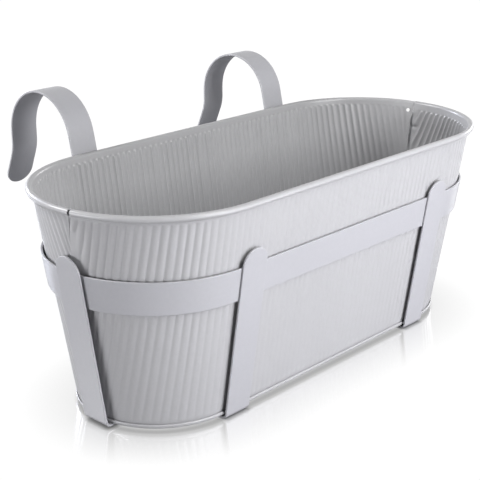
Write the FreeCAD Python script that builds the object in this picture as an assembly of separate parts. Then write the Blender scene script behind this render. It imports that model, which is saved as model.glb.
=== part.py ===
# Balcony planter: an oval sheet-metal tub that lifts out of a strap holder with two railing hooks.
# Millimetres. X runs along the planter, +Y towards the railing, +Z up. The origin is on the ground,
# under the middle of the tub.
import FreeCAD
import Part
import math
import os

Vector = FreeCAD.Vector
UP = Vector(0, 0, 1)

# Tub: plan shape and sheet
tub_straight = 231.5          # flat length of a long side, between the round ends
rim_radius = 82.6             # plan radius of the wall's outer face, at the height of the rim bead
base_radius = 59.4            # plan radius of the wall's outer face, at the hem's underside
tub_height = 154.5            # from the hem's underside to the centre of the rim bead
sheet = 0.6                   # thickness of the tub's sheet

# Tub: rolled rim with its wire
bead_radius = 2.3             # outer radius of the rolled rim
bead_turn = 300.0             # how far the sheet rolls round the wire, in degrees
wire_clearance = 0.2          # between the wire and the roll

# Tub: seams where the two half walls meet
seam_offset = 9.0             # from the middle of a round end to its seam, along the rim
seam_gap = 0.4                # between the edges of the two halves
lap_length = 8.0              # how far the lap of one half reaches behind the other
lap_root = 6.0                # length over which the lap is joined to its own half
lap_clearance = 0.05          # between the lap and the wall that it backs
lap_below_hole = 1.2          # from the lower edge of the small hole down to the top of the lap

# Tub: small round hole beside the seam, in the rear half
hole_radius = 1.6
hole_below_bead = 3.2         # from the underside of the bead to the hole's centre
hole_from_seam = 5.0

# Tub: base pan, hooked round the foot of the walls as a hem
hem_height = 2.9              # height of the hem's outer lip
hem_lip = 0.9                 # thickness of the lip
hem_round = 0.9               # rounding of the hem's lower edges
lip_round = 0.4               # rounding of the lip's upper edge
hem_clearance = 0.15          # between the pan and each face of the wall
base_recess = 3.0             # from the hem's underside up to the underside of the pan's floor

# Holder: flat bar
strap_width = 23.0
strap_thickness = 1.5
foot_radius = 3.0             # inside radius where an upright turns under the tub
tip_above_band = 11.5         # from the band's top edge to the round tip of an upright
strap_inset = 0.25            # from the end of the tub's flat side to the near edge of a hook strap
end_strap_shift = -3.0        # the end strap sits a little forward of the middle

# Holder: band round the tub
band_height = 24.0            # measured up the slope
band_below_rim = 43.0         # from the centre of the rim bead down to the band's top edge
band_clearance = 1.0          # between the band and the tub's long sides
band_end_slack = 0.8          # how much further the band stands off at the round ends

# Holder: hooks over the railing
hook_gap = 68.2               # between the two legs of a hook
hook_rim_gap = 3.6            # from the rim to the hook's front leg, at the height of its arch centre
hook_rise = 7.7               # from the centre of the rim bead up to the arch centre
hook_lean_above_band = 3.5    # from the band's top edge up to the bend where a hook strap leans back
hook_lean_radius = 20.0       # inside radius of that bend
flare_below_arch = 14.0       # from the arch centre down to where the back leg flares
flare_angle = 23.0            # in degrees, away from the tub
flare_radius = 30.0
flare_length = 33.0           # from the flare to the tip of the back leg

# Holder: spot welds
weld_radius = 2.5
weld_spacing = 12.0           # between the two welds of one crossing

# Values worked out from the sizes above
half_straight = tub_straight / 2
hem_bottom = 2 * strap_thickness                  # the tub stands on the two layers of strap
bead_height = hem_bottom + tub_height
slope = (rim_radius - base_radius) / tub_height
lean = math.atan(slope)
outward = (math.cos(lean), -math.sin(lean))       # square to the wall, in radius and height
bead_inset = bead_radius - sheet                  # from the wall's outer face to the bead's centre
band_half_straight = half_straight + band_end_slack
strap_x = half_straight - strap_inset - strap_width / 2
strap_offset = band_clearance + 1.5 * strap_thickness    # wall to the middle of an upright
band_top = bead_height - band_below_rim
tip_height = band_top + tip_above_band


def wall_point(offset, height):
    """Radius and height of a point at a distance outward from the wall's outer face."""
    radius = base_radius + slope * (height - hem_bottom) + offset / math.cos(lean)
    return (radius, height)


def section_place(u, v):
    """A section is drawn across the front side: u is the plan radius, v the height."""
    return Vector(0, -u, v)


def cross_place(u, v):
    """A bar that runs across the tub is drawn with u along Y."""
    return Vector(0, u, v)


def long_place(u, v):
    """A bar that runs along the tub is drawn with u along X."""
    return Vector(u, 0, v)


def outline(corners, place):
    """Edges of a closed outline of straight lines, each corner (u, v, radius) rounded by its radius."""
    count = len(corners)
    entry = []
    leave = []
    arcs = []
    for i in range(count):
        u, v, radius = corners[i]
        before = corners[i - 1]
        after = corners[(i + 1) % count]
        a = Vector(before[0] - u, before[1] - v, 0).normalize()
        b = Vector(after[0] - u, after[1] - v, 0).normalize()
        corner = Vector(u, v, 0)
        if radius <= 0:
            entry.append(corner)
            leave.append(corner)
            arcs.append(None)
            continue
        half = math.acos(max(-1.0, min(1.0, a.dot(b)))) / 2
        reach = radius / math.tan(half)
        bisector = (a + b).normalize()
        centre = corner + bisector * (radius / math.sin(half))
        entry.append(corner + a * reach)
        leave.append(corner + b * reach)
        arcs.append(centre - bisector * radius)
    edges = []
    for i in range(count):
        if arcs[i] is not None:
            points = [place(p.x, p.y) for p in (entry[i], arcs[i], leave[i])]
            edges.append(Part.Arc(*points).toShape())
        start = leave[i]
        end = entry[(i + 1) % count]
        if (end - start).Length > 1e-6:
            edges.append(Part.LineSegment(place(start.x, start.y), place(end.x, end.y)).toShape())
    return edges


def face_of(edges):
    return Part.Face(Part.Wire(Part.__sortEdges__(edges)))


def arc_edges(centre, radius, start, sweep, place):
    """Two arcs, one after the other, that turn by sweep degrees from the start angle."""
    edges = []
    for i in range(2):
        angles = [math.radians(start + sweep * (i + part) / 2) for part in (0, 0.5, 1)]
        steps = [(radius * math.cos(a), radius * math.sin(a)) for a in angles]
        points = [place(centre[0] + u, centre[1] + v) for u, v in steps]
        edges.append(Part.Arc(*points).toShape())
    return edges


def along_side(face, reach):
    """The section drawn out along the front side, reach to each side of the middle."""
    start = face.copy()
    start.translate(Vector(-reach, 0, 0))
    return start.extrude(Vector(2 * reach, 0, 0))


def round_end(face, reach, start, sweep):
    """The section turned about the centre of the +X end, from start degrees past the front side."""
    turned = face.copy()
    turned.translate(Vector(reach, 0, 0))
    turned.rotate(Vector(reach, 0, 0), UP, start)
    return turned.revolve(Vector(reach, 0, 0), UP, sweep)


def half_turned(shape):
    other = shape.copy()
    other.rotate(Vector(0, 0, 0), UP, 180)
    return other


def joined(pieces):
    return pieces[0].fuse(pieces[1:]).removeSplitter()


def full_loop(face, reach):
    """The section carried once round the whole oval."""
    side = along_side(face, reach)
    end = round_end(face, reach, 0, 180)
    return joined([side, end, half_turned(side), half_turned(end)])


def bead_centre():
    return wall_point(bead_inset, bead_height)


def wall_foot():
    """Height of the lower edge of the walls, inside the hem."""
    return hem_bottom + hem_lip + hem_clearance


def wall_section():
    """Straight wall with its rim rolled outward."""
    centre = bead_centre()
    start = 180 - math.degrees(lean)
    inner_start = (centre[0] - bead_radius * outward[0], centre[1] - bead_radius * outward[1])
    outer_start = (centre[0] - bead_inset * outward[0], centre[1] - bead_inset * outward[1])
    end_angle = math.radians(start - bead_turn)
    roll_ends = [
        section_place(centre[0] + r * math.cos(end_angle), centre[1] + r * math.sin(end_angle))
        for r in (bead_inset, bead_radius)
    ]
    foot_outer = section_place(*wall_point(0, wall_foot()))
    foot_inner = section_place(*wall_point(-sheet, wall_foot()))
    edges = [
        Part.LineSegment(foot_outer, section_place(*outer_start)).toShape(),
        Part.LineSegment(roll_ends[0], roll_ends[1]).toShape(),
        Part.LineSegment(section_place(*inner_start), foot_inner).toShape(),
        Part.LineSegment(foot_inner, foot_outer).toShape(),
    ]
    edges += arc_edges(centre, bead_inset, start, -bead_turn, section_place)
    edges += arc_edges(centre, bead_radius, start, -bead_turn, section_place)
    return face_of(edges)


def strip_section(inner, outer, low, high):
    """A strip that lies along the wall, between two distances from its outer face."""
    ends = [(inner, low), (outer, low), (outer, high), (inner, high)]
    corners = [(*wall_point(offset, height), 0) for offset, height in ends]
    return face_of(outline(corners, section_place))


def seam_degrees(length):
    """The angle that a length along the rim takes up on a round end."""
    return math.degrees(length / rim_radius)


def hole_height():
    return bead_height - bead_radius - hole_below_bead


def half_wall():
    """Front half of the tub wall, from the seam at the -X end to just past the +X end."""
    section = wall_section()
    gap = seam_degrees(seam_gap / 2)
    seam = 90 + seam_degrees(seam_offset)
    short_seam = 90 - seam_degrees(seam_offset)
    long_end = round_end(section, half_straight, 0, seam - gap)
    side = along_side(section, half_straight)
    short_end = half_turned(round_end(section, half_straight, 180 - short_seam + gap, short_seam - gap))
    low = hem_bottom + hem_height
    high = hole_height() - hole_radius - lap_below_hole
    root = strip_section(-2 * sheet, -sheet / 2, low, high)
    lap = strip_section(-2 * sheet, -sheet - lap_clearance, low, high)
    root_start = seam - seam_degrees(lap_root)
    root_piece = round_end(root, half_straight, root_start, seam - gap - root_start)
    lap_piece = round_end(lap, half_straight, root_start, seam_degrees(lap_root + lap_length))
    return joined([short_end, side, long_end, root_piece, lap_piece])


def seam_hole():
    """Cutter for the small hole, beside the seam at the -X end of the front half."""
    height = hole_height()
    radius = wall_point(-sheet / 2, height)[0]
    direction = Vector(0, -outward[0], outward[1])
    middle = Vector(-half_straight, -radius, height)
    reach = 2 * sheet                                 # well past both faces of the sheet
    cutter = Part.makeCylinder(hole_radius, 2 * reach, middle - direction * reach, direction)
    turn = 90 - seam_degrees(seam_offset + hole_from_seam)
    cutter.rotate(Vector(-half_straight, 0, 0), UP, -turn)
    return cutter


def base_pan():
    """Floor of the tub, with a skirt inside the walls and a lip hooked up round their lower edge."""
    skirt_outer = -sheet - hem_clearance
    skirt_inner = skirt_outer - sheet
    lip_inner = hem_clearance
    lip_outer = lip_inner + hem_lip
    channel = hem_bottom + hem_lip
    floor_low = hem_bottom + base_recess
    floor_high = floor_low + sheet
    lip_top = hem_bottom + hem_height
    lip_edge = min(lip_round, hem_lip / 2.2)          # both roundings fit on the lip
    corners = [
        (*wall_point(skirt_inner, floor_high), 0),
        (*wall_point(skirt_inner, hem_bottom), hem_round),
        (*wall_point(lip_outer, hem_bottom), hem_round),
        (*wall_point(lip_outer, lip_top), lip_edge),
        (*wall_point(lip_inner, lip_top), lip_edge),
        (*wall_point(lip_inner, channel), 0),
        (*wall_point(skirt_outer, channel), 0),
        (*wall_point(skirt_outer, floor_high), 0),
    ]
    hem = full_loop(face_of(outline(corners, section_place)), half_straight)
    floor_radius = wall_point(skirt_inner + sheet / 2, floor_low)[0]
    across = [(0, floor_low), (floor_radius, floor_low), (floor_radius, floor_high), (0, floor_high)]
    half_floor = face_of(outline([(u, v, 0) for u, v in across], section_place))
    side = along_side(half_floor, half_straight)
    end = round_end(half_floor, half_straight, 0, 180)
    return joined([hem, side, end, half_turned(side), half_turned(end)])


def rim_wire():
    """Stiffening wire inside the rolled rim."""
    centre = bead_centre()
    radius = bead_inset - wire_clearance
    return full_loop(face_of(arc_edges(centre, radius, 0, 360, section_place)), half_straight)


def holder_band():
    """Flat band round the tub, sloped like its wall."""
    low = band_top - band_height * math.cos(lean)
    section = strip_section(band_clearance, band_clearance + strap_thickness, low, band_top)
    return full_loop(section, band_half_straight)


def bar_outline(points, radii, place):
    """Outline of a flat bar bent along a middle line; radii are those of the middle line's corners."""
    half = strap_thickness / 2
    sides = {1: [], -1: []}
    steps = [Vector(b[0] - a[0], b[1] - a[1], 0).normalize() for a, b in zip(points, points[1:])]
    for i, (u, v) in enumerate(points):
        before = steps[max(i - 1, 0)]
        after = steps[min(i, len(steps) - 1)]
        turn = before.x * after.y - before.y * after.x
        share = 1 + before.dot(after)
        for side in (1, -1):
            shift_u = -side * half * (before.y + after.y) / share
            shift_v = side * half * (before.x + after.x) / share
            radius = radii[i] - math.copysign(half, side * turn) if radii[i] else 0
            sides[side].append((u + shift_u, v + shift_v, radius))
    return outline(sides[1] + sides[-1][::-1], place)


def round_tip(point, direction, place):
    """Disc that rounds the end of a bar; direction points along the bar, out of its tip."""
    half = strap_thickness / 2
    normal = place(-direction[1], direction[0])
    start = place(point[0], point[1]) - normal * half
    return Part.makeCylinder(strap_width / 2, strap_thickness, start, normal)


def upright(offset, foot_height):
    """Middle line of an upright as (foot, tip centre, direction to the tip), in radius and height."""
    foot = wall_point(offset, foot_height)
    direction = (math.sin(lean), math.cos(lean))
    tip = wall_point(offset, tip_height)
    back = strap_width / 2
    return foot, (tip[0] - direction[0] * back, tip[1] - direction[1] * back), direction


def hook_path():
    """Middle line of a hook strap, from its front tip, under the tub and over the railing to its back tip."""
    half = strap_thickness / 2
    foot, tip, direction = upright(strap_offset, half)
    bend = wall_point(strap_offset, band_top + hook_lean_above_band)
    radius = hook_gap / 2 + half
    rim_outer = bead_centre()[0] + bead_radius
    arch = (rim_outer + hook_rim_gap + strap_thickness + hook_gap / 2, bead_height + hook_rise)
    # The leaning leg runs straight from the bend until it touches the arch.
    span = math.hypot(arch[0] - bend[0], arch[1] - bend[1])
    angle = math.atan2(arch[1] - bend[1], arch[0] - bend[0]) + math.asin(radius / span)
    top = arch[1] + radius
    leg_top = (bend[0] + (top - bend[1]) / math.tan(angle), top)
    back = arch[0] + radius
    flare = (back, arch[1] - flare_below_arch)
    out = (math.sin(math.radians(flare_angle)), -math.cos(math.radians(flare_angle)))
    reach = flare_length - strap_width / 2
    back_tip = (flare[0] + out[0] * reach, flare[1] + out[1] * reach)
    points = [(-tip[0], tip[1]), (-foot[0], foot[1]), foot, bend, leg_top, (back, top), flare, back_tip]
    foot_bend = foot_radius + half
    lean_bend = hook_lean_radius + half
    radii = [0, foot_bend, foot_bend, lean_bend, radius, radius, flare_radius, 0]
    return points, radii, (-direction[0], direction[1]), out


def hook_strap():
    """One hook strap, at the middle of the planter."""
    points, radii, front, back = hook_path()
    face = face_of(bar_outline(points, radii, cross_place))
    face.translate(Vector(-strap_width / 2, 0, 0))
    bar = face.extrude(Vector(strap_width, 0, 0))
    tips = [round_tip(points[0], front, cross_place), round_tip(points[-1], back, cross_place)]
    return joined([bar] + tips)


def end_strap():
    """Strap that runs the length of the tub, on top of the hook straps, and up at both ends."""
    half = strap_thickness / 2
    foot, tip, direction = upright(strap_offset, strap_thickness + half)
    reach = band_half_straight
    points = [
        (-reach - tip[0], tip[1]),
        (-reach - foot[0], foot[1]),
        (reach + foot[0], foot[1]),
        (reach + tip[0], tip[1]),
    ]
    radii = [0, foot_radius + half, foot_radius + half, 0]
    face = face_of(bar_outline(points, radii, long_place))
    face.translate(Vector(0, -strap_width / 2, 0))
    bar = face.extrude(Vector(0, strap_width, 0))
    left = round_tip(points[0], (-direction[0], direction[1]), long_place)
    right = round_tip(points[-1], direction, long_place)
    strap = joined([bar, left, right])
    strap.translate(Vector(0, end_strap_shift, 0))
    return strap


def spot_welds():
    """Weld nuggets: two where each upright crosses the band, two where the straps cross below."""
    depth = strap_thickness / 3
    middle = band_top - band_height * math.cos(lean) / 2
    nuggets = []
    for step in (-weld_spacing / 2, weld_spacing / 2):
        radius, height = wall_point(band_clearance + strap_thickness, middle + step * math.cos(lean))
        normal = Vector(0, -outward[0], outward[1])
        start = Vector(0, -radius, height) - normal * depth
        front = Part.makeCylinder(weld_radius, 2 * depth, start, normal)
        end = front.copy()
        end.rotate(Vector(0, 0, 0), UP, 90)
        end.translate(Vector(band_half_straight, end_strap_shift, 0))
        for x in (-strap_x, strap_x):
            near = front.copy()
            near.translate(Vector(x, 0, 0))
            under = Vector(x + step, end_strap_shift, strap_thickness - depth)
            nuggets.append(near)
            nuggets.append(half_turned(near))
            nuggets.append(Part.makeCylinder(weld_radius, 2 * depth, under, UP))
        other_end = end.mirror(Vector(0, 0, 0), Vector(1, 0, 0))
        nuggets.append(end)
        nuggets.append(other_end)
    return nuggets


def build():
    front = half_wall()
    welds = spot_welds()
    nodes = {
        "tub_front_wall": front,
        "tub_rear_wall": half_turned(front.cut(seam_hole())),
        "tub_base_pan": base_pan(),
        "rim_wire": rim_wire(),
        "holder_band": holder_band().cut(welds),
        "end_strap": end_strap().cut(welds),
        "spot_welds": Part.makeCompound(welds),
    }
    for side, x in (("left", -strap_x), ("right", strap_x)):
        strap = hook_strap()
        strap.translate(Vector(x, 0, 0))
        nodes["hook_strap_" + side] = strap.cut(welds)
    return nodes


os.makedirs("parts", exist_ok=True)
for name, shape in build().items():
    shape.exportStep("parts/" + name + ".step")
    state = "valid" if shape.isValid() else "NOT VALID"
    print(name, len(shape.Solids), "solids", round(shape.Volume), "mm3", state)
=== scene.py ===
import math
import bmesh
import bpy
import numpy as np
from mathutils import Matrix, Vector


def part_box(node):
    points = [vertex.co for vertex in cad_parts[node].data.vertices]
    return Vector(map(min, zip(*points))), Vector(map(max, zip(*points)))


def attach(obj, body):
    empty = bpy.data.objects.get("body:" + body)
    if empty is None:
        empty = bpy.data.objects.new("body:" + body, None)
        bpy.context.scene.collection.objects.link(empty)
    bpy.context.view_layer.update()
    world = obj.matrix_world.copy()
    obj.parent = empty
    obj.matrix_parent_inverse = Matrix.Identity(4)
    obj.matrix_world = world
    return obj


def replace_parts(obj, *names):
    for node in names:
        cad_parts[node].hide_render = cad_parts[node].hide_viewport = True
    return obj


# Balcony planter: a fluted sheet-metal tub that lifts out of a flat-strap holder with two railing hooks.
# Sizes are in millimetres, and the meshes are written in metres.
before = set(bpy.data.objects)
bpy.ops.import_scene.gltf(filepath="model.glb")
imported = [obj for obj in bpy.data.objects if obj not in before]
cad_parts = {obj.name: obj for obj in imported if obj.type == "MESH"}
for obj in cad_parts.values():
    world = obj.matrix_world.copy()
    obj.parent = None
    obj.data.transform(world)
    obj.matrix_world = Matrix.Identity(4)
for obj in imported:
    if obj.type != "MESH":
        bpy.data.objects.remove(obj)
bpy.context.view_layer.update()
MM = 0.001


def box_mm(node):
    low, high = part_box(node)
    return np.array(low) / MM, np.array(high) / MM


# Sizes read from the solids
wall_low, wall_high = box_mm("tub_rear_wall")
pan_low, _ = box_mm("tub_base_pan")
bar_low, bar_high = box_mm("hook_strap_right")
_, band_high = box_mm("holder_band")
rim_outer = wall_high[1]                          # plan radius of the rim's outermost line
half_straight = -wall_low[0] - rim_outer          # half the flat length of a long side
hem_bottom = pan_low[2]
strap_thickness = hem_bottom / 2                  # the tub stands on two layers of strap
strap_width = bar_high[0] - bar_low[0]
strap_x = (bar_low[0] + bar_high[0]) / 2
band_top = band_high[2]
hook_top = bar_high[2]

# Tub, as in the solids
rim_radius = 82.6             # plan radius of the wall's outer face, at the height of the rim bead
base_radius = 59.4            # plan radius of the wall's outer face, at the hem's underside
sheet = 0.6
bead_radius = 2.3
bead_turn = 300.0             # how far the sheet rolls round its wire, in degrees
seam_offset = 9.0             # from the middle of a round end to its seam, along the rim
seam_gap = 0.4
hole_radius = 1.6
hole_below_bead = 3.2         # from the underside of the bead to the hole's centre
hole_from_seam = 5.0
hole_cut_length = 6 * sheet   # well through the sheet
hem_height = 2.9              # height of the hem's outer lip
hem_lip = 0.9                 # thickness of the lip
hem_round = 1.1               # this and the next are more than in the solids: the rolled edges look round
lip_round = 0.85
hem_clearance = 0.15          # between the pan and each face of the wall
base_recess = 3.0             # from the hem's underside up to the underside of the pan's floor
pan_border = 10.0             # width of the ring of floor that is swept together with the pan's skirt

# Tub: flutes pressed into the sheet
flute_pitch = 5.34            # the flutes are straight and evenly spaced on the flat sheet
flute_depth = 0.36            # about half the height from a valley to a crest
flute_harmonics = (1, -0.22, 0.07)    # broad round crests with narrow valleys between them
flute_splay = 1.3             # rolling splays the flutes this many times as much as a bare cone would
flute_low_share = 0.53        # near the hem the flutes are this share as deep
flute_low_heights = (40.0, 110.0)     # up to the first height, and fully deep from the second
collar_blend = 1.6            # the flutes fade out over this height below the collar
hem_fade = (6.0, 10.0)        # the hem presses the flutes flat between these heights
hem_groove = 0.35             # the wall is pressed in just above the hem
hem_groove_height = 1.2
hem_flare = 0.35              # and the hem's lip stands off from it

# Tub: unevenness of the sheet, as sine waves of (size, rate, phase)
flute_drift = ((0.25, 4, 0.6), (0.18, 11, 2.1), (0.12, 31, 0.0))      # flutes out of place, as an angle
flute_uneven = ((0.10, 5, 1.2), (0.08, 19, 0.4), (0.07, 41, 2.7))     # flutes deeper and less deep
# Slow waviness, as waves of (size, rate, rise that turns the wave by one radian, phase)
sheet_waves = ((1.0, 5, 38.0, 0.0), (0.6, 13, -27.0, 1.0))
wave_depth = 0.12
wave_heights = (6.0, 40.0)    # it sets in between these heights
wave_depths = (4.0, 34.0)     # and fades out between these depths below the bead's underside

# Tub: small marks beside the seams, with depths below the bead's underside
bead_shift = 2.6              # at the left seam the bead's joint lies this far in front of the wall's seam
bead_shift_spread = 14.0
bead_blend = (15.0, 75.0)     # the shift sets in between these turns of the roll, in degrees
notch = 1.5                   # the bead of the front half stops this much short of the rear half's bead
bead_drop = 0.35              # the rear half's bead lies a little lower at the right seam
bead_drop_spread = 12.0
seam_closes = (12.0, 20.0)    # the gap of the left seam closes between these depths
seam_closed = 0.03
seam_tilt = 0.2               # the left seam leans back below the bead
seam_tilt_ends = (8.0, 45.0)
edge_spread = 10.0            # how far from a seam the sheet is drawn along with its edge
edge_back = 1.2               # the rear half is trimmed back at the right seam, below the bead
edge_back_starts = (4.0, 11.0)
edge_back_ends = (28.0, 44.0)
edge_ragged = ((0.22, 1.34, 0.0), (0.14, 3.3, 1.0))   # waves of its trimmed edge, of (size, rate, phase)
edge_jog = 0.7                # there it lies inside the front half, by a bit more than the sheet
edge_jog_spread = (1.0, 6.0)
edge_under = 3.4              # and the front half runs on behind it
edge_dip = 0.9                # lying a little further out there, so a dark slot is left between the two
edge_dip_spread = (2.4, 4.4)
dent_depth = 1.0
dent_size = (2.4, 1.3)        # along the rim and up the wall
dent_height = 138.5
dent_from_seam = 4.6
stray_flute_depth = (9.0, 13.0)       # beside the left seam one flute of the front half stops here

# Holder, as in the solids
band_height = 24.0            # measured up the slope
band_clearance = 1.0          # between the band and the tub's long sides
band_end_slack = 0.8          # how much further the band stands off at the round ends
foot_radius = 3.0             # inside radius where an upright turns under the tub
tip_above_band = 11.5         # from the band's top edge to the round tip of an upright
end_strap_shift = -3.0        # the end strap sits a little forward of the middle
hook_gap = 68.2               # between the two legs of a hook
hook_rim_gap = 3.6            # from the rim to the hook's front leg
hook_lean_above_band = 3.5    # from the band's top edge up to the bend where a hook strap leans back
hook_lean_radius = 20.0       # inside radius of that bend
flare_below_arch = 14.0       # from the arch's centre down to where the back leg flares
flare_angle = 23.0            # in degrees, away from the tub
flare_radius = 30.0
flare_length = 33.0           # from the flare to the tip of the back leg

# Holder: edges of the strap
strap_edge = 0.4              # rounding of its edges
strap_support = 0.5           # plain border beside that rounding

# Mesh steps
flute_columns = 9             # columns for each flute
row_step = 2.4                # rows up the fluted wall
fine_row_step = 0.9           # rows above fine_rows_from, where the seams show
fine_rows_from = 118.0
hem_rows = 11.0               # up to this height the rows are close together
hem_row_count = 9
collar_row_count = 14
bead_steps = 16               # round the roll
hole_steps = 40
pan_steps = (24, 60)          # along a flat side and round an end
band_steps = (40, 90)
corner_steps = 5              # round a corner of a section
strap_run_step = 12.0         # along a straight run
strap_bend_step = 5.0         # round a bend, in degrees
shortest_run = 0.001          # a straight run between two bends that is shorter is left out
strap_tip_steps = 14          # round half a tip
strap_tip_start = 4.0         # from the middle of a tip to the first of these steps, in degrees
strap_edge_steps = 4          # round a long edge
sharp_angle = 35.0            # edges sharper than this are shaded sharp, in degrees

# Values worked out from the sizes above
bead_height = wall_high[2] - bead_radius          # of the bead's centre
bead_underside = bead_height - bead_radius
slope = (rim_radius - base_radius) / (bead_height - hem_bottom)
lean = math.atan(slope)
bead_inset = bead_radius - sheet
half_thickness = strap_thickness / 2
end_length = math.pi * rim_radius                 # one round end, along the rim
perimeter = 4 * half_straight + 2 * end_length
right_seam = perimeter / 4 + seam_offset
band_half_straight = half_straight + band_end_slack
strap_offset = band_clearance + 1.5 * strap_thickness
tip_height = band_top + tip_above_band

# The two halves of the wall
# plain: the sheet beside a seam is plain up to the first distance, and fully fluted from the second.
# depths: share of the flute depth at the half's start, on its flat side and at its end.
# depth_blend: length past the flat side over which these shares blend.
# collar: from the bead's centre down to the tops of the flutes.
front_half = {
    "middle": 0.0,
    "plain": (3.5, 6.0),
    "depths": (0.95, 0.45, 1.7),
    "depth_blend": 50.0,
    "collar": 4.2,
}
rear_half = {
    "middle": perimeter / 2,
    "plain": (0.5, 2.0),
    "depths": (0.6, 1.42, 0.95),
    "depth_blend": 110.0,
    "collar": 2.6,
}


def smooth_step(low, high, value):
    share = np.clip((value - low) / (high - low), 0, 1)
    return share * share * (3 - 2 * share)


def waves(place, parts):
    """Sum of sine waves, each given as (size, rate, phase)."""
    return sum(size * np.sin(rate * place + phase) for size, rate, phase in parts)


def wall_point(offset, height):
    """Plan radius and height of a point at a distance outward from the wall's outer face."""
    return base_radius + slope * (height - hem_bottom) + offset / math.cos(lean), height


def oval(u, reach):
    """Points on the oval's middle line, which reaches that far to both sides, and outward directions.
    u is the length along the rim from the middle of the front."""
    u = (u + perimeter / 2) % perimeter - perimeter / 2
    side = np.where(u < 0, -1.0, 1.0)
    past = np.abs(u) - half_straight
    angle = np.clip(past / rim_radius, 0, math.pi)
    along = np.where(past > end_length, half_straight - past + end_length, half_straight)
    along = np.where(past < 0, np.abs(u), along)
    middle = side * along * reach / half_straight
    return middle, side * np.sin(angle), -np.cos(angle)


def oval_points(u, reach, radius, height):
    """Points at a plan radius and a height, all arrays of one shape."""
    middle, east, north = oval(u, reach)
    return np.stack([middle + east * radius, north * radius, height + 0 * u], axis=-1)


def oval_stations(side_steps, end_steps):
    """Lengths along the rim for a sweep that goes round once."""
    front = np.linspace(-half_straight, half_straight, side_steps, endpoint=False)
    end = half_straight + np.linspace(0, end_length, end_steps, endpoint=False)
    half = np.concatenate([front, end])
    return np.concatenate([half, half + perimeter / 2])


def new_piece(name, vertices, faces, body, material):
    """A piece of the planter from points in millimetres, shaded smooth but for its sharp edges."""
    mesh = bpy.data.meshes.new(name)
    mesh.from_pydata((np.asarray(vertices) * MM).tolist(), [], faces)
    edit = bmesh.new()
    edit.from_mesh(mesh)
    bmesh.ops.recalc_face_normals(edit, faces=edit.faces)
    edit.to_mesh(mesh)
    edit.free()
    mesh.shade_smooth()
    mesh.set_sharp_from_angle(angle=math.radians(sharp_angle))
    mesh.materials.append(material)
    piece = bpy.data.objects.new(name, mesh)
    bpy.context.scene.collection.objects.link(piece)
    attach(piece, body)
    return piece


def sweep_faces(count, size, loop, ring):
    """Quads between neighbouring sections. loop closes the way round, ring closes each section."""
    rows = np.arange(count if loop else count - 1)[:, None]
    steps = np.arange(size if ring else size - 1)[None, :]
    after = (rows + 1) % count
    beside = (steps + 1) % size
    corners = [rows * size + steps, rows * size + beside, after * size + beside, after * size + steps]
    return np.stack([c + 0 * (rows + steps) for c in corners], axis=-1).reshape(-1, 4).tolist()


def sheet_caps(count, size):
    """Quads that fill a sweep's first and last section, whose point j faces point size - 1 - j."""
    faces = []
    for start in (0, (count - 1) * size):
        for j in range(size // 2 - 1):
            faces.append([start + k for k in (j, j + 1, size - 2 - j, size - 1 - j)])
    return faces


def rounded(corners):
    """Points of an outline whose corners (u, v, radius) are rounded."""
    points = []
    count = len(corners)
    for i, (u, v, radius) in enumerate(corners):
        corner = Vector((u, v))
        before = (Vector(corners[i - 1][:2]) - corner).normalized()
        after = (Vector(corners[(i + 1) % count][:2]) - corner).normalized()
        if radius <= 0:
            points.append(corner)
            continue
        half = before.angle(after) / 2
        centre = corner + (before + after).normalized() * (radius / math.sin(half))
        start = corner + before * (radius / math.tan(half)) - centre
        turn = start.angle_signed(corner + after * (radius / math.tan(half)) - centre)
        for k in range(corner_steps + 1):
            points.append(centre + Matrix.Rotation(-turn * k / corner_steps, 2) @ start)
    return np.array([tuple(p) for p in points])


# Tub walls

def half_place(u, half):
    """Lengths along the rim from the middle of a half wall's flat side, and from its start and its end."""
    local = (u - half["middle"] + perimeter / 2) % perimeter - perimeter / 2
    return local, local + perimeter / 4 - seam_offset, perimeter / 4 + seam_offset - local


def flat_length(local, height):
    """Where a point lay along the flat sheet, from the half's middle, before the ends were rolled."""
    past = np.maximum(np.abs(local) - half_straight, 0)
    fan = np.sin(past / rim_radius * math.sin(lean)) / math.sin(lean)
    drop = flute_splay * slope * (bead_height - height)
    return np.sign(local) * (np.minimum(np.abs(local), half_straight) + (rim_radius - drop) * fan)


def flute_shape(flat):
    """How far a fully fluted sheet rises above its mean, along the flat sheet: a slightly uneven wave."""
    turn = 2 * math.pi * flat / (perimeter / 2)
    phase = 2 * math.pi * flat / flute_pitch + waves(turn, flute_drift)
    wave = sum(share * np.cos((k + 1) * phase) for k, share in enumerate(flute_harmonics))
    return flute_depth * (1 + waves(turn, flute_uneven)) * wave


def lapped_share(depth):
    """How much of the right seam's lap there is at a depth below the bead."""
    return smooth_step(*edge_back_starts, depth) * (1 - smooth_step(*edge_back_ends, depth))


def flute_share(local, from_start, from_end, height, half):
    """Share of their depth that the flutes have: none on the collar, the hem and strips at the seams."""
    first, flat, last = half["depths"]
    rolled = smooth_step(0, half["depth_blend"], np.abs(local) - half_straight)
    share = flat + rolled * (np.where(local < 0, first, last) - flat)
    stray = 0
    if half is front_half:
        stray = flute_pitch * (1 - smooth_step(*stray_flute_depth, bead_underside - height))
    plain = smooth_step(*half["plain"], np.minimum(from_start + stray, from_end))
    top = bead_height - half["collar"]
    upright = smooth_step(*hem_fade, height) * (1 - smooth_step(top - collar_blend, top, height))
    low = flute_low_share + (1 - flute_low_share) * smooth_step(*flute_low_heights, height)
    return share * plain * upright * low


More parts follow.
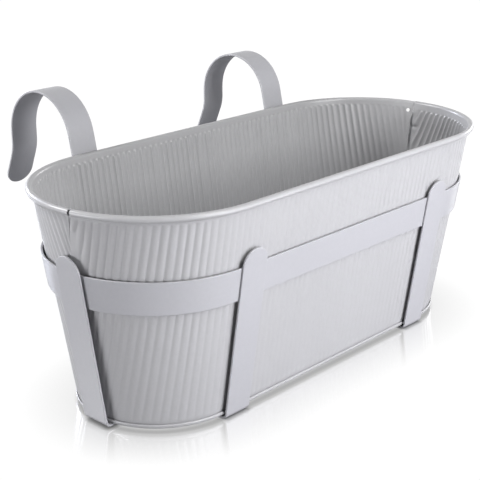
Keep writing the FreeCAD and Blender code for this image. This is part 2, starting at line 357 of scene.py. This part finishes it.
def sheet_relief(u, height, half):
    """How far the sheet lies outward of its plain form."""
    local, from_start, from_end = half_place(u, half)
    flutes = flute_shape(flat_length(local, height))
    relief = flutes * flute_share(local, from_start, from_end, height, half)
    depth = bead_underside - height
    turn = 2 * math.pi * u / perimeter
    wave = sum(size * np.sin(rate * turn + height / rise + phase)
               for size, rate, rise, phase in sheet_waves)
    body = smooth_step(*wave_heights, height) * smooth_step(*wave_depths, depth)
    groove = np.exp(-((height - hem_bottom - hem_height) / hem_groove_height) ** 2)
    relief = relief + wave_depth * wave * body - hem_groove * groove
    lapped = lapped_share(depth)
    if half is rear_half:
        return relief - edge_jog * lapped * (1 - smooth_step(*edge_jog_spread, from_start))
    relief = relief + edge_dip * lapped * (1 - smooth_step(*edge_dip_spread, from_end))
    dent_along = (from_end - dent_from_seam) / dent_size[0]
    dent_up = (height - dent_height) / dent_size[1]
    return relief + dent_depth * np.exp(-(dent_along ** 2 + dent_up ** 2))


def edge_shifts(half, height):
    """How far the start and the end of a half wall lie along the rim from its seams, up the wall."""
    depth = np.maximum(bead_underside - height, 0)
    closing = smooth_step(*seam_closes, depth) * (seam_gap - seam_closed) / 2
    tilt = -seam_tilt * depth * (1 - smooth_step(*seam_tilt_ends, depth))
    if half is front_half:
        return tilt - closing, edge_under * lapped_share(depth)
    return (edge_back + waves(depth, edge_ragged)) * lapped_share(depth), tilt + closing


def bead_back(columns, start, end, half):
    """How far the bead's points lie along the rim from the wall below them, near the left seam."""
    if half is front_half:
        return (bead_shift + notch) * (1 - smooth_step(0, bead_shift_spread, columns - start))
    return bead_shift * (1 - smooth_step(0, bead_shift_spread, end - columns))


def wall_rows():
    """Heights of the mesh rows up the straight part of the wall."""
    foot = hem_bottom + hem_lip + hem_clearance
    top = bead_height + bead_inset * math.sin(lean)
    collar = bead_height - front_half["collar"] - collar_blend
    row_count = round((fine_rows_from - hem_rows) / row_step)
    fine_row_count = round((collar - fine_rows_from) / fine_row_step)
    rows = [
        np.linspace(foot, hem_rows, hem_row_count, endpoint=False),
        np.linspace(hem_rows, fine_rows_from, row_count, endpoint=False),
        np.linspace(fine_rows_from, collar, fine_row_count, endpoint=False),
        np.linspace(collar, top, collar_row_count),
    ]
    return np.concatenate(rows)


def wall_rings(u, half):
    """Sections of a half wall: up the outer face and round inside the roll, then back outside it and down
    the inner face."""
    heights = wall_rows()[None, :]
    turns = np.linspace(0, math.radians(bead_turn), bead_steps + 1)[None, 1:]
    columns = u[:, None]
    start, end = u[0], u[-1]
    first, last = edge_shifts(half, heights)
    near_start = 1 - smooth_step(0, edge_spread, columns - start)
    near_end = 1 - smooth_step(0, edge_spread, end - columns)
    drawn = columns + first * near_start + last * near_end
    relief = sheet_relief(columns, heights, half)
    centre_radius, centre_height = wall_point(bead_inset, bead_height)
    angles = math.pi - lean - turns
    rolled = smooth_step(*np.radians(bead_blend), turns)
    back = bead_back(columns, start, end, half) * rolled
    lowered = bead_drop * (1 - smooth_step(0, bead_drop_spread, columns - start))
    drop = lowered * rolled if half is rear_half else 0 * rolled
    faces = []
    for offset, radius in ((0, bead_inset), (-sheet, bead_radius)):
        wall = oval_points(drawn, half_straight, wall_point(offset, heights)[0] + relief, heights)
        roll_radius = centre_radius + radius * np.cos(angles) + 0 * columns
        roll_height = centre_height + radius * np.sin(angles) - drop
        roll = oval_points(columns + back, half_straight, roll_radius, roll_height)
        faces.append(np.concatenate([wall, roll], axis=1))
    return np.concatenate([faces[0], faces[1][:, ::-1]], axis=1)


def half_wall(name, half, material):
    """One half of the tub wall, with its rolled rim."""
    start = half["middle"] - perimeter / 4 + seam_offset + seam_gap / 2
    end = half["middle"] + perimeter / 4 + seam_offset - seam_gap / 2
    u = np.linspace(start, end, round((end - start) / flute_pitch * flute_columns) + 1)
    rings = wall_rings(u, half)
    count, size = rings.shape[:2]
    faces = sweep_faces(count, size, False, True) + sheet_caps(count, size)
    piece = new_piece(name, rings.reshape(-1, 3), faces, "tub", material)
    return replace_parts(piece, name.replace("sheet", "wall"))


def drill_hole(piece):
    """The small round hole in the rear half, beside the right seam."""
    height = bead_underside - hole_below_bead
    u = np.array(right_seam + hole_from_seam)
    middle = oval_points(u, half_straight, wall_point(-sheet / 2, height)[0], height) * MM
    _, east, north = oval(u, half_straight)
    outward = Vector((east * math.cos(lean), north * math.cos(lean), -math.sin(lean)))
    mesh = bpy.data.meshes.new("hole_cutter")
    edit = bmesh.new()
    place = Matrix.Translation(Vector(middle)) @ outward.to_track_quat("Z", "Y").to_matrix().to_4x4()
    radius = hole_radius * MM
    length = hole_cut_length * MM
    bmesh.ops.create_cone(edit, cap_ends=True, segments=hole_steps, radius1=radius, radius2=radius,
                          depth=length, matrix=place)
    edit.to_mesh(mesh)
    edit.free()
    cutter = bpy.data.objects.new("hole_cutter", mesh)
    bpy.context.scene.collection.objects.link(cutter)
    cut = piece.modifiers.new("hole", "BOOLEAN")
    cut.operation = "DIFFERENCE"
    cut.solver = "EXACT"
    cut.object = cutter
    view = bpy.context.evaluated_depsgraph_get()
    drilled = bpy.data.meshes.new_from_object(piece.evaluated_get(view))
    piece.modifiers.clear()
    piece.data = drilled
    bpy.data.objects.remove(cutter)


def base_pan(material):
    """Floor of the tub, its skirt inside the walls, and the lip hooked up round their lower edge."""
    skirt_outer = -sheet - hem_clearance
    skirt_inner = skirt_outer - sheet
    lip_outer = hem_clearance + hem_lip
    channel = hem_bottom + hem_lip
    floor_low = hem_bottom + base_recess
    floor_high = floor_low + sheet
    lip_top = hem_bottom + hem_height
    inside = wall_point(skirt_inner, floor_low)[0] - pan_border
    corners = [
        (inside, floor_high, 0),
        (*wall_point(skirt_outer, floor_high), 0),
        (*wall_point(skirt_outer, channel), 0),
        (*wall_point(hem_clearance, channel), 0),
        (*wall_point(hem_clearance + hem_flare, lip_top), 0),
        (*wall_point(lip_outer + hem_flare, lip_top), lip_round),
        (*wall_point(lip_outer, hem_bottom), hem_round),
        (*wall_point(skirt_inner, hem_bottom), hem_round),
        (*wall_point(skirt_inner, floor_low), 0),
        (inside, floor_low, 0),
    ]
    section = rounded(corners)
    u = oval_stations(*pan_steps)[:, None]
    radius = section[:, 0][None, :] + 0 * u
    rings = oval_points(u + 0 * radius, half_straight, radius, section[:, 1][None, :])
    count, size = rings.shape[:2]
    faces = sweep_faces(count, size, True, False)
    faces.append([i * size for i in range(count)])
    faces.append([i * size + size - 1 for i in range(count)])
    piece = new_piece("tub_base", rings.reshape(-1, 3), faces, "tub", material)
    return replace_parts(piece, "tub_base_pan")


# Holder

def band(material):
    """Flat band round the tub, sloped like its wall, with rounded edges."""
    rise = band_height * math.cos(lean)
    low = band_top - rise
    border = strap_edge + strap_support
    inner = band_clearance
    outer = band_clearance + strap_thickness
    corners = [
        (inner, border, 0),
        (inner, 0, strap_edge),
        (outer, 0, strap_edge),
        (outer, border, 0),
        (outer, rise - border, 0),
        (outer, rise, strap_edge),
        (inner, rise, strap_edge),
        (inner, rise - border, 0),
    ]
    section = rounded(corners)
    u = oval_stations(*band_steps)[:, None]
    radius, height = wall_point(section[:, 0][None, :], low + section[:, 1][None, :])
    rings = oval_points(u + 0 * radius, band_half_straight, radius + 0 * u, height)
    count, size = rings.shape[:2]
    faces = sweep_faces(count, size, True, True)
    piece = new_piece("band", rings.reshape(-1, 3), faces, "holder", material)
    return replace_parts(piece, "holder_band")


def bent_line(points, radii):
    """A line bent at its corners, as stretches of (start, heading, curvature, length)."""
    stretches = []
    steps = [Vector(b) - Vector(a) for a, b in zip(points, points[1:])]
    taken = 0.0
    for i, step in enumerate(steps):
        heading = math.atan2(step.y, step.x)
        start = Vector(points[i]) + step.normalized() * taken
        turn = 0.0
        if i + 1 < len(steps):
            turn = math.atan2(steps[i + 1].y, steps[i + 1].x) - heading
            turn = (turn + math.pi) % (2 * math.pi) - math.pi
        reach = radii[i + 1] * math.tan(abs(turn) / 2)
        length = step.length - taken - reach
        if length > shortest_run:
            stretches.append((start, heading, 0.0, length))
        if turn:
            bend = start + step.normalized() * length
            curvature = math.copysign(1 / radii[i + 1], turn)
            stretches.append((bend, heading, curvature, abs(turn) * radii[i + 1]))
        taken = reach
    return stretches


def along_line(stretches, lengths):
    """Positions and normals at lengths along a bent line, which runs on straight past both ends."""
    starts = np.cumsum([0.0] + [s[3] for s in stretches])
    which = np.clip(np.searchsorted(starts, lengths, side="right") - 1, 0, len(stretches) - 1)
    places = np.zeros((len(lengths), 2))
    normals = np.zeros((len(lengths), 2))
    for i, (k, length) in enumerate(zip(which, lengths)):
        start, heading, curvature, _ = stretches[k]
        run = length - starts[k]
        now = heading + curvature * run
        if curvature:
            along = (math.sin(now) - math.sin(heading)) / curvature
            up = (math.cos(heading) - math.cos(now)) / curvature
        else:
            along = run * math.cos(heading)
            up = run * math.sin(heading)
        places[i] = (start.x + along, start.y + up)
        normals[i] = (-math.sin(now), math.cos(now))
    return places, normals


def strap_stations(stretches):
    """Lengths along a bent line: far apart on straight runs, close together round its bends."""
    lengths = [0.0]
    for _, _, curvature, length in stretches:
        bend_steps = math.ceil(abs(curvature) * length / math.radians(strap_bend_step))
        steps = max(1, bend_steps, math.ceil(length / strap_run_step))
        lengths += [lengths[-1] + length * (k + 1) / steps for k in range(steps)]
    return np.array(lengths)


def strap_mesh(points, radii, place):
    """A flat strap with round tips and rounded edges, bent along its middle line."""
    stretches = bent_line(points, radii)
    lengths = strap_stations(stretches)
    half_width = strap_width / 2
    tip = np.radians(np.linspace(strap_tip_start, 90, strap_tip_steps, endpoint=False))
    # Each station has a middle on the strap's line and a direction from there to the outline.
    ends = np.concatenate([np.full(len(tip), lengths[0]), lengths, np.full(len(tip), lengths[-1])])
    out_along = np.concatenate([-np.cos(tip), 0 * lengths, np.cos(tip)[::-1]])
    out_across = np.concatenate([np.sin(tip), 0 * lengths + 1, np.sin(tip)[::-1]])
    quarter = np.radians(np.linspace(90, 0, strap_edge_steps + 1))
    core = half_thickness - strap_edge
    edge = [(strap_edge + strap_support, half_thickness)]
    edge += [(strap_edge * (1 - math.cos(a)), core + strap_edge * math.sin(a)) for a in quarter]
    edge += [(inset, -level) for inset, level in edge[::-1]]
    loops = []
    for inset, level in edge:
        reach = half_width - inset
        middles, normals = along_line(stretches, ends + out_along * reach)
        middles = middles + normals * level
        near = [place(*m, -reach * w) for m, w in zip(middles, out_across)]
        far = [place(*m, reach * w) for m, w in zip(middles[::-1], out_across[::-1])]
        loops.append(near + far)
    count, size = len(loops), len(loops[0])
    faces = sweep_faces(count, size, False, True) + sheet_caps(count, size)
    return np.concatenate([np.array(loop) for loop in loops]), faces


def upright(foot_height):
    """Middle line of an upright as (foot, tip centre), in radius and height."""
    foot = wall_point(strap_offset, foot_height)
    tip = wall_point(strap_offset, tip_height)
    back = strap_width / 2
    return foot, (tip[0] - math.sin(lean) * back, tip[1] - math.cos(lean) * back)


def hook_line():
    """Middle line of a hook strap: from its front tip, under the tub and over the rail to its back tip."""
    foot, tip = upright(half_thickness)
    bend = wall_point(strap_offset, band_top + hook_lean_above_band)
    radius = hook_gap / 2 + half_thickness
    arch_out = rim_outer + hook_rim_gap + strap_thickness + hook_gap / 2
    arch = (arch_out, hook_top - strap_thickness - hook_gap / 2)
    span = math.hypot(arch[0] - bend[0], arch[1] - bend[1])
    angle = math.atan2(arch[1] - bend[1], arch[0] - bend[0]) + math.asin(radius / span)
    top = arch[1] + radius
    leg_top = (bend[0] + (top - bend[1]) / math.tan(angle), top)
    back = arch[0] + radius
    flare = (back, arch[1] - flare_below_arch)
    reach = flare_length - strap_width / 2
    flared = math.radians(flare_angle)
    back_tip = (flare[0] + math.sin(flared) * reach, flare[1] - math.cos(flared) * reach)
    points = [(-tip[0], tip[1]), (-foot[0], foot[1]), foot, bend, leg_top, (back, top), flare, back_tip]
    foot_bend = foot_radius + half_thickness
    radii = [0, foot_bend, foot_bend, hook_lean_radius + half_thickness, radius, radius, flare_radius, 0]
    return points, radii


def hook_strap(side, x, material):
    """Strap from front to back under the tub, with a hook for the railing."""
    vertices, faces = strap_mesh(*hook_line(), lambda u, v, w: (x + w, u, v))
    piece = new_piece("hook_bar_" + side, vertices, faces, "holder", material)
    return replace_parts(piece, "hook_strap_" + side)


def end_strap(material):
    """Strap that runs the length of the tub, on top of the hook straps, and up at both ends."""
    foot, tip = upright(strap_thickness + half_thickness)
    right = [(band_half_straight + along, height) for along, height in (foot, tip)]
    left = [(-along, height) for along, height in right[::-1]]
    bend = foot_radius + half_thickness
    radii = [0, bend, bend, 0]
    vertices, faces = strap_mesh(left + right, radii, lambda u, v, w: (u, end_strap_shift + w, v))
    piece = new_piece("end_bar", vertices, faces, "holder", material)
    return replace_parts(piece, "end_strap")


# Finishes

tub_tone = (0.401, 0.40, 0.41)
# The holder has the same paint as the tub; its bluer tone is painted light, standing in for the bluish
# light on the hooks.
holder_tone = (0.40, 0.40, 0.422)
# The rim wire is nearly black: painted shade, so the notch in the bead, where the wire shows, looks dark.
wire_painted_shade_tone = (0.05, 0.05, 0.05)
weld_tone = (0.5, 0.5, 0.51)
noise_span = (0.3, 0.7)       # middle range of a noise's values
paint_sheen = 0.32            # roughness of the paint
coat_tone_spread = 0.015      # share of the tone
coat_sheen_spread = 0.03
coat_drift_scale = 9.0
coat_mottle_scale = 420.0
peel_scale = 1100.0
peel_strength = 0.25
peel_depth = 0.00004          # metres
wire_streak_scale = 700.0
weld_streak_scale = 900.0
streak_dark = 0.6             # share of the tone that a dark streak has
streak_roughness = (0.35, 0.55)
streak_strength = 0.3
streak_depth = 0.00005        # metres


def node(tree, kind, place, **values):
    """A shader node at a place in its tree, with its settings."""
    made = tree.nodes.new(kind)
    made.location = place
    for name, value in values.items():
        setattr(made, name, value)
    return made


def noise(tree, coordinates, place, scale, detail):
    """A noise on the piece's own coordinates."""
    made = node(tree, "ShaderNodeTexNoise", place)
    made.inputs["Scale"].default_value = scale
    made.inputs["Detail"].default_value = detail
    tree.links.new(coordinates.outputs["Object"], made.inputs["Vector"])
    return made


def spread(tree, source, place, low, high, span=noise_span):
    """Maps a span of the source onto low to high."""
    made = node(tree, "ShaderNodeMapRange", place)
    made.inputs["From Min"].default_value = span[0]
    made.inputs["From Max"].default_value = span[1]
    made.inputs["To Min"].default_value = low
    made.inputs["To Max"].default_value = high
    tree.links.new(source, made.inputs["Value"])
    return made


def coat_grain_group():
    """Sprayed coat: a slow drift of tone, a fine mottle, an uneven sheen and an orange-peel surface."""
    group = bpy.data.node_groups.new("sprayed_coat_grain", "ShaderNodeTree")
    sockets = (
        ("Tone", "INPUT", "NodeSocketColor"),
        ("Sheen", "INPUT", "NodeSocketFloat"),
        ("Grain Size", "INPUT", "NodeSocketFloat"),
        ("Color", "OUTPUT", "NodeSocketColor"),
        ("Roughness", "OUTPUT", "NodeSocketFloat"),
        ("Height", "OUTPUT", "NodeSocketFloat"),
    )
    for name, way, kind in sockets:
        group.interface.new_socket(name, in_out=way, socket_type=kind)
    start = node(group, "NodeGroupInput", (-900, 0))
    end = node(group, "NodeGroupOutput", (700, 0))
    place = node(group, "ShaderNodeTexCoord", (-900, -300))
    drift = noise(group, place, (-600, 300), coat_drift_scale, 2.0)
    mottle = noise(group, place, (-600, 50), coat_mottle_scale, 3.0)
    peel = noise(group, place, (-600, -250), peel_scale, 2.0)
    group.links.new(start.outputs["Grain Size"], peel.inputs["Scale"])
    tones = (1 - coat_tone_spread, 1 + coat_tone_spread)
    slow = spread(group, drift.outputs["Fac"], (-300, 300), *tones)
    fine = spread(group, mottle.outputs["Fac"], (-300, 50), *tones)
    both = node(group, "ShaderNodeMath", (-50, 200), operation="MULTIPLY")
    group.links.new(slow.outputs["Result"], both.inputs[0])
    group.links.new(fine.outputs["Result"], both.inputs[1])
    tone = node(group, "ShaderNodeVectorMath", (200, 200), operation="SCALE")
    group.links.new(start.outputs["Tone"], tone.inputs[0])
    group.links.new(both.outputs["Value"], tone.inputs["Scale"])
    group.links.new(tone.outputs["Vector"], end.inputs["Color"])
    uneven = spread(group, drift.outputs["Fac"], (-300, -100), -coat_sheen_spread, coat_sheen_spread)
    sheen = node(group, "ShaderNodeMath", (200, -50), operation="ADD")
    group.links.new(start.outputs["Sheen"], sheen.inputs[0])
    group.links.new(uneven.outputs["Result"], sheen.inputs[1])
    group.links.new(sheen.outputs["Value"], end.inputs["Roughness"])
    group.links.new(peel.outputs["Fac"], end.inputs["Height"])
    return group


def new_material(name):
    """A material with a shader of its own, and its tree."""
    material = bpy.data.materials.new(name)
    material.use_nodes = True
    tree = material.node_tree
    tree.nodes.clear()
    shader = node(tree, "ShaderNodeBsdfPrincipled", (300, 0))
    out = node(tree, "ShaderNodeOutputMaterial", (600, 0))
    tree.links.new(shader.outputs["BSDF"], out.inputs["Surface"])
    return material, tree, shader


def bump(tree, shader, height, strength, distance):
    """Small heights on the surface, of a distance in metres."""
    made = node(tree, "ShaderNodeBump", (50, -250))
    made.inputs["Strength"].default_value = strength
    made.inputs["Distance"].default_value = distance
    tree.links.new(height, made.inputs["Height"])
    tree.links.new(made.outputs["Normal"], shader.inputs["Normal"])


def satin_paint(name, grain, tone):
    """Satin light grey paint, sprayed and baked on sheet metal."""
    material, tree, shader = new_material(name)
    coat = node(tree, "ShaderNodeGroup", (-250, 0), node_tree=grain)
    coat.inputs["Tone"].default_value = (*tone, 1)
    coat.inputs["Sheen"].default_value = paint_sheen
    coat.inputs["Grain Size"].default_value = peel_scale
    tree.links.new(coat.outputs["Color"], shader.inputs["Base Color"])
    tree.links.new(coat.outputs["Roughness"], shader.inputs["Roughness"])
    bump(tree, shader, coat.outputs["Height"], peel_strength, peel_depth)
    return material


def bare_steel(name, tone, scale):
    """Bare steel with fine drawn streaks."""
    material, tree, shader = new_material(name)
    shader.inputs["Metallic"].default_value = 1.0
    place = node(tree, "ShaderNodeTexCoord", (-900, 0))
    streaks = noise(tree, place, (-650, 0), scale, 4.0)
    ramp = node(tree, "ShaderNodeValToRGB", (-350, 120))
    dark, light = ramp.color_ramp.elements
    dark.position, light.position = noise_span
    dark.color = (*[streak_dark * c for c in tone], 1)
    light.color = (*tone, 1)
    tree.links.new(streaks.outputs["Fac"], ramp.inputs["Fac"])
    tree.links.new(ramp.outputs["Color"], shader.inputs["Base Color"])
    rough = spread(tree, streaks.outputs["Fac"], (-350, -150), *streak_roughness)
    tree.links.new(rough.outputs["Result"], shader.inputs["Roughness"])
    bump(tree, shader, streaks.outputs["Fac"], streak_strength, streak_depth)
    return material


def finish_solid(name, material):
    """A solid that shows as it is gets its finish."""
    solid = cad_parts[name]
    solid.data.materials.clear()
    solid.data.materials.append(material)


# Studio, with angles in degrees

camera_azimuth = -46.9
camera_elevation = 19.186
camera_distance = 840.161
camera_target = (-33.324, 0.0, 94.107)
camera_roll = -0.218
camera_lens = 85.143
light_aim = (0, 0, 0.08)      # metres
white = (1, 1, 1)
# Lights as (name, azimuth, elevation, distance, width, height, power, tint), in metres and watts
softboxes = (
    ("front_low", 9, 1, 0.56, 0.6, 0.14, 2.3, (0.985, 0.985, 1.055)),
    ("front_middle", 5, 24, 1.0, 0.5, 0.35, 6.4, white),
    ("front_high", 0, 50, 1.0, 0.35, 0.35, 3.7, white),
    ("left", -104, 1, 2.2, 1.2, 0.3, 33, (0.99, 0.99, 1.02)),
    ("rear_high", -145, 38, 2.2, 0.6, 0.6, 34, white),
    ("right", 92, 12, 2.2, 0.6, 0.6, 10, white),
    ("rear", 178, 14, 2.2, 0.6, 0.6, 18, (0.93, 0.97, 1.1)),
)
room_glow = 0.005             # light that the room's walls throw
room_white = 0.8              # and how bright they look in glossy surfaces
floor_half = 6.0              # metres
floor_glow = 1.03             # brightness that the camera sees
floor_contact_reach = 0.004   # metres, how far the dark shade at the foot of the planter reaches
floor_near_reach = 0.05       # metres, how far the faint shade and the mirror image reach
floor_near = (0.5, 1.0)       # share of open sky at the foot of the planter and out of that reach
floor_near_shade = 0.88       # share of the brightness that the faint shade leaves at the foot
floor_image = 0.42            # strength of the mirror image at the foot
floor_bounce = 0.24           # tone of the floor in the light that it throws up
floor_roughness = 0.1


def direction(azimuth, elevation):
    """From the planter towards a place seen at an azimuth, 0 in front and 90 at its +X end."""
    a = math.radians(azimuth)
    e = math.radians(elevation)
    return Vector((math.sin(a) * math.cos(e), -math.cos(a) * math.cos(e), math.sin(e)))


def add_camera():
    """A camera placed as for the photo."""
    data = bpy.data.cameras.new("camera")
    data.lens = camera_lens
    camera = bpy.data.objects.new("camera", data)
    back = direction(camera_azimuth, camera_elevation)
    camera.location = (Vector(camera_target) + back * camera_distance) * MM
    level = (-back).to_track_quat("-Z", "Y").to_matrix()
    turn = Matrix.Rotation(math.radians(camera_roll), 3, "Z")
    camera.rotation_euler = (level @ turn).to_euler()
    bpy.context.scene.collection.objects.link(camera)
    bpy.context.scene.camera = camera


def softbox(name, azimuth, elevation, distance, width, height, power, tint):
    """A rectangular light that faces the planter."""
    data = bpy.data.lights.new(name, "AREA")
    data.shape = "RECTANGLE"
    data.size = width
    data.size_y = height
    data.energy = power
    data.color = tint
    light = bpy.data.objects.new(name, data)
    towards = direction(azimuth, elevation)
    light.location = Vector(light_aim) + towards * distance
    light.rotation_euler = (-towards).to_track_quat("-Z", "Y").to_euler()
    bpy.context.scene.collection.objects.link(light)


def pale_floor():
    """White floor with a soft gloss. The camera sees it glow white, with shade and a mirror image close to
    the planter. Towards the planter it is a plain pale floor that throws up some light."""
    material, tree, bounce = new_material("pale_floor")
    bounce.inputs["Base Color"].default_value = (floor_bounce, floor_bounce, floor_bounce, 1)
    bounce.inputs["Roughness"].default_value = floor_roughness
    contact = node(tree, "ShaderNodeAmbientOcclusion", (-900, -300))
    contact.inputs["Distance"].default_value = floor_contact_reach
    near = node(tree, "ShaderNodeAmbientOcclusion", (-900, -550))
    near.inputs["Distance"].default_value = floor_near_reach
    shaded_glow = floor_glow * floor_near_shade
    soft = spread(tree, near.outputs["AO"], (-650, -550), shaded_glow, floor_glow, floor_near)
    shade = node(tree, "ShaderNodeMath", (-400, -300), operation="MULTIPLY")
    tree.links.new(contact.outputs["AO"], shade.inputs[0])
    tree.links.new(soft.outputs["Result"], shade.inputs[1])
    glow = node(tree, "ShaderNodeEmission", (-200, -300))
    tree.links.new(shade.outputs["Value"], glow.inputs["Strength"])
    image = node(tree, "ShaderNodeBsdfAnisotropic", (-200, -500))
    image.inputs["Color"].default_value = (*white, 1)
    image.inputs["Roughness"].default_value = floor_roughness
    share = spread(tree, near.outputs["AO"], (-400, -800), floor_image, 0.0, floor_near)
    shown = node(tree, "ShaderNodeMixShader", (50, -350))
    tree.links.new(share.outputs["Result"], shown.inputs["Fac"])
    tree.links.new(glow.outputs["Emission"], shown.inputs[1])
    tree.links.new(image.outputs["BSDF"], shown.inputs[2])
    seen = node(tree, "ShaderNodeLightPath", (-200, 300))
    both = node(tree, "ShaderNodeMixShader", (300, 0))
    tree.links.new(seen.outputs["Is Camera Ray"], both.inputs["Fac"])
    tree.links.new(bounce.outputs["BSDF"], both.inputs[1])
    tree.links.new(shown.outputs["Shader"], both.inputs[2])
    tree.links.new(both.outputs["Shader"], tree.nodes["Material Output"].inputs["Surface"])
    mesh = bpy.data.meshes.new("floor")
    signs = ((-1, -1), (1, -1), (1, 1), (-1, 1))
    corners = [(x * floor_half, y * floor_half, 0) for x, y in signs]
    mesh.from_pydata(corners, [], [(0, 1, 2, 3)])
    mesh.materials.append(material)
    floor = bpy.data.objects.new("floor", mesh)
    bpy.context.scene.collection.objects.link(floor)


def room_light():
    """A nearly dark room. Its white walls show to the camera and in glossy surfaces, and throw hardly any
    light."""
    world = bpy.data.worlds.new("studio")
    world.use_nodes = True
    tree = world.node_tree
    walls = tree.nodes["Background"]
    walls.inputs["Color"].default_value = (*white, 1)
    seen = node(tree, "ShaderNodeLightPath", (-500, 0))
    level = node(tree, "ShaderNodeMapRange", (-250, 0))
    level.inputs["To Min"].default_value = room_glow
    level.inputs["To Max"].default_value = room_white
    tree.links.new(seen.outputs["Is Glossy Ray"], level.inputs["Value"])
    shown = node(tree, "ShaderNodeMath", (-50, 0), operation="MAXIMUM")
    tree.links.new(level.outputs["Result"], shown.inputs[0])
    tree.links.new(seen.outputs["Is Camera Ray"], shown.inputs[1])
    tree.links.new(shown.outputs["Value"], walls.inputs["Strength"])
    bpy.context.scene.world = world


grain = coat_grain_group()
tub_paint = satin_paint("tub_paint", grain, tub_tone)
holder_paint = satin_paint("holder_paint", grain, holder_tone)
wire_steel = bare_steel("wire_steel", wire_painted_shade_tone, wire_streak_scale)
weld_steel = bare_steel("weld_steel", weld_tone, weld_streak_scale)

half_wall("tub_front_sheet", front_half, tub_paint)
drill_hole(half_wall("tub_rear_sheet", rear_half, tub_paint))
base_pan(tub_paint)
band(holder_paint)
hook_strap("left", -strap_x, holder_paint)
hook_strap("right", strap_x, holder_paint)
end_strap(holder_paint)
finish_solid("rim_wire", wire_steel)
finish_solid("spot_welds", weld_steel)

add_camera()
pale_floor()
room_light()
for light in softboxes:
    softbox(*light)
bpy.context.scene.view_settings.view_transform = "Standard"
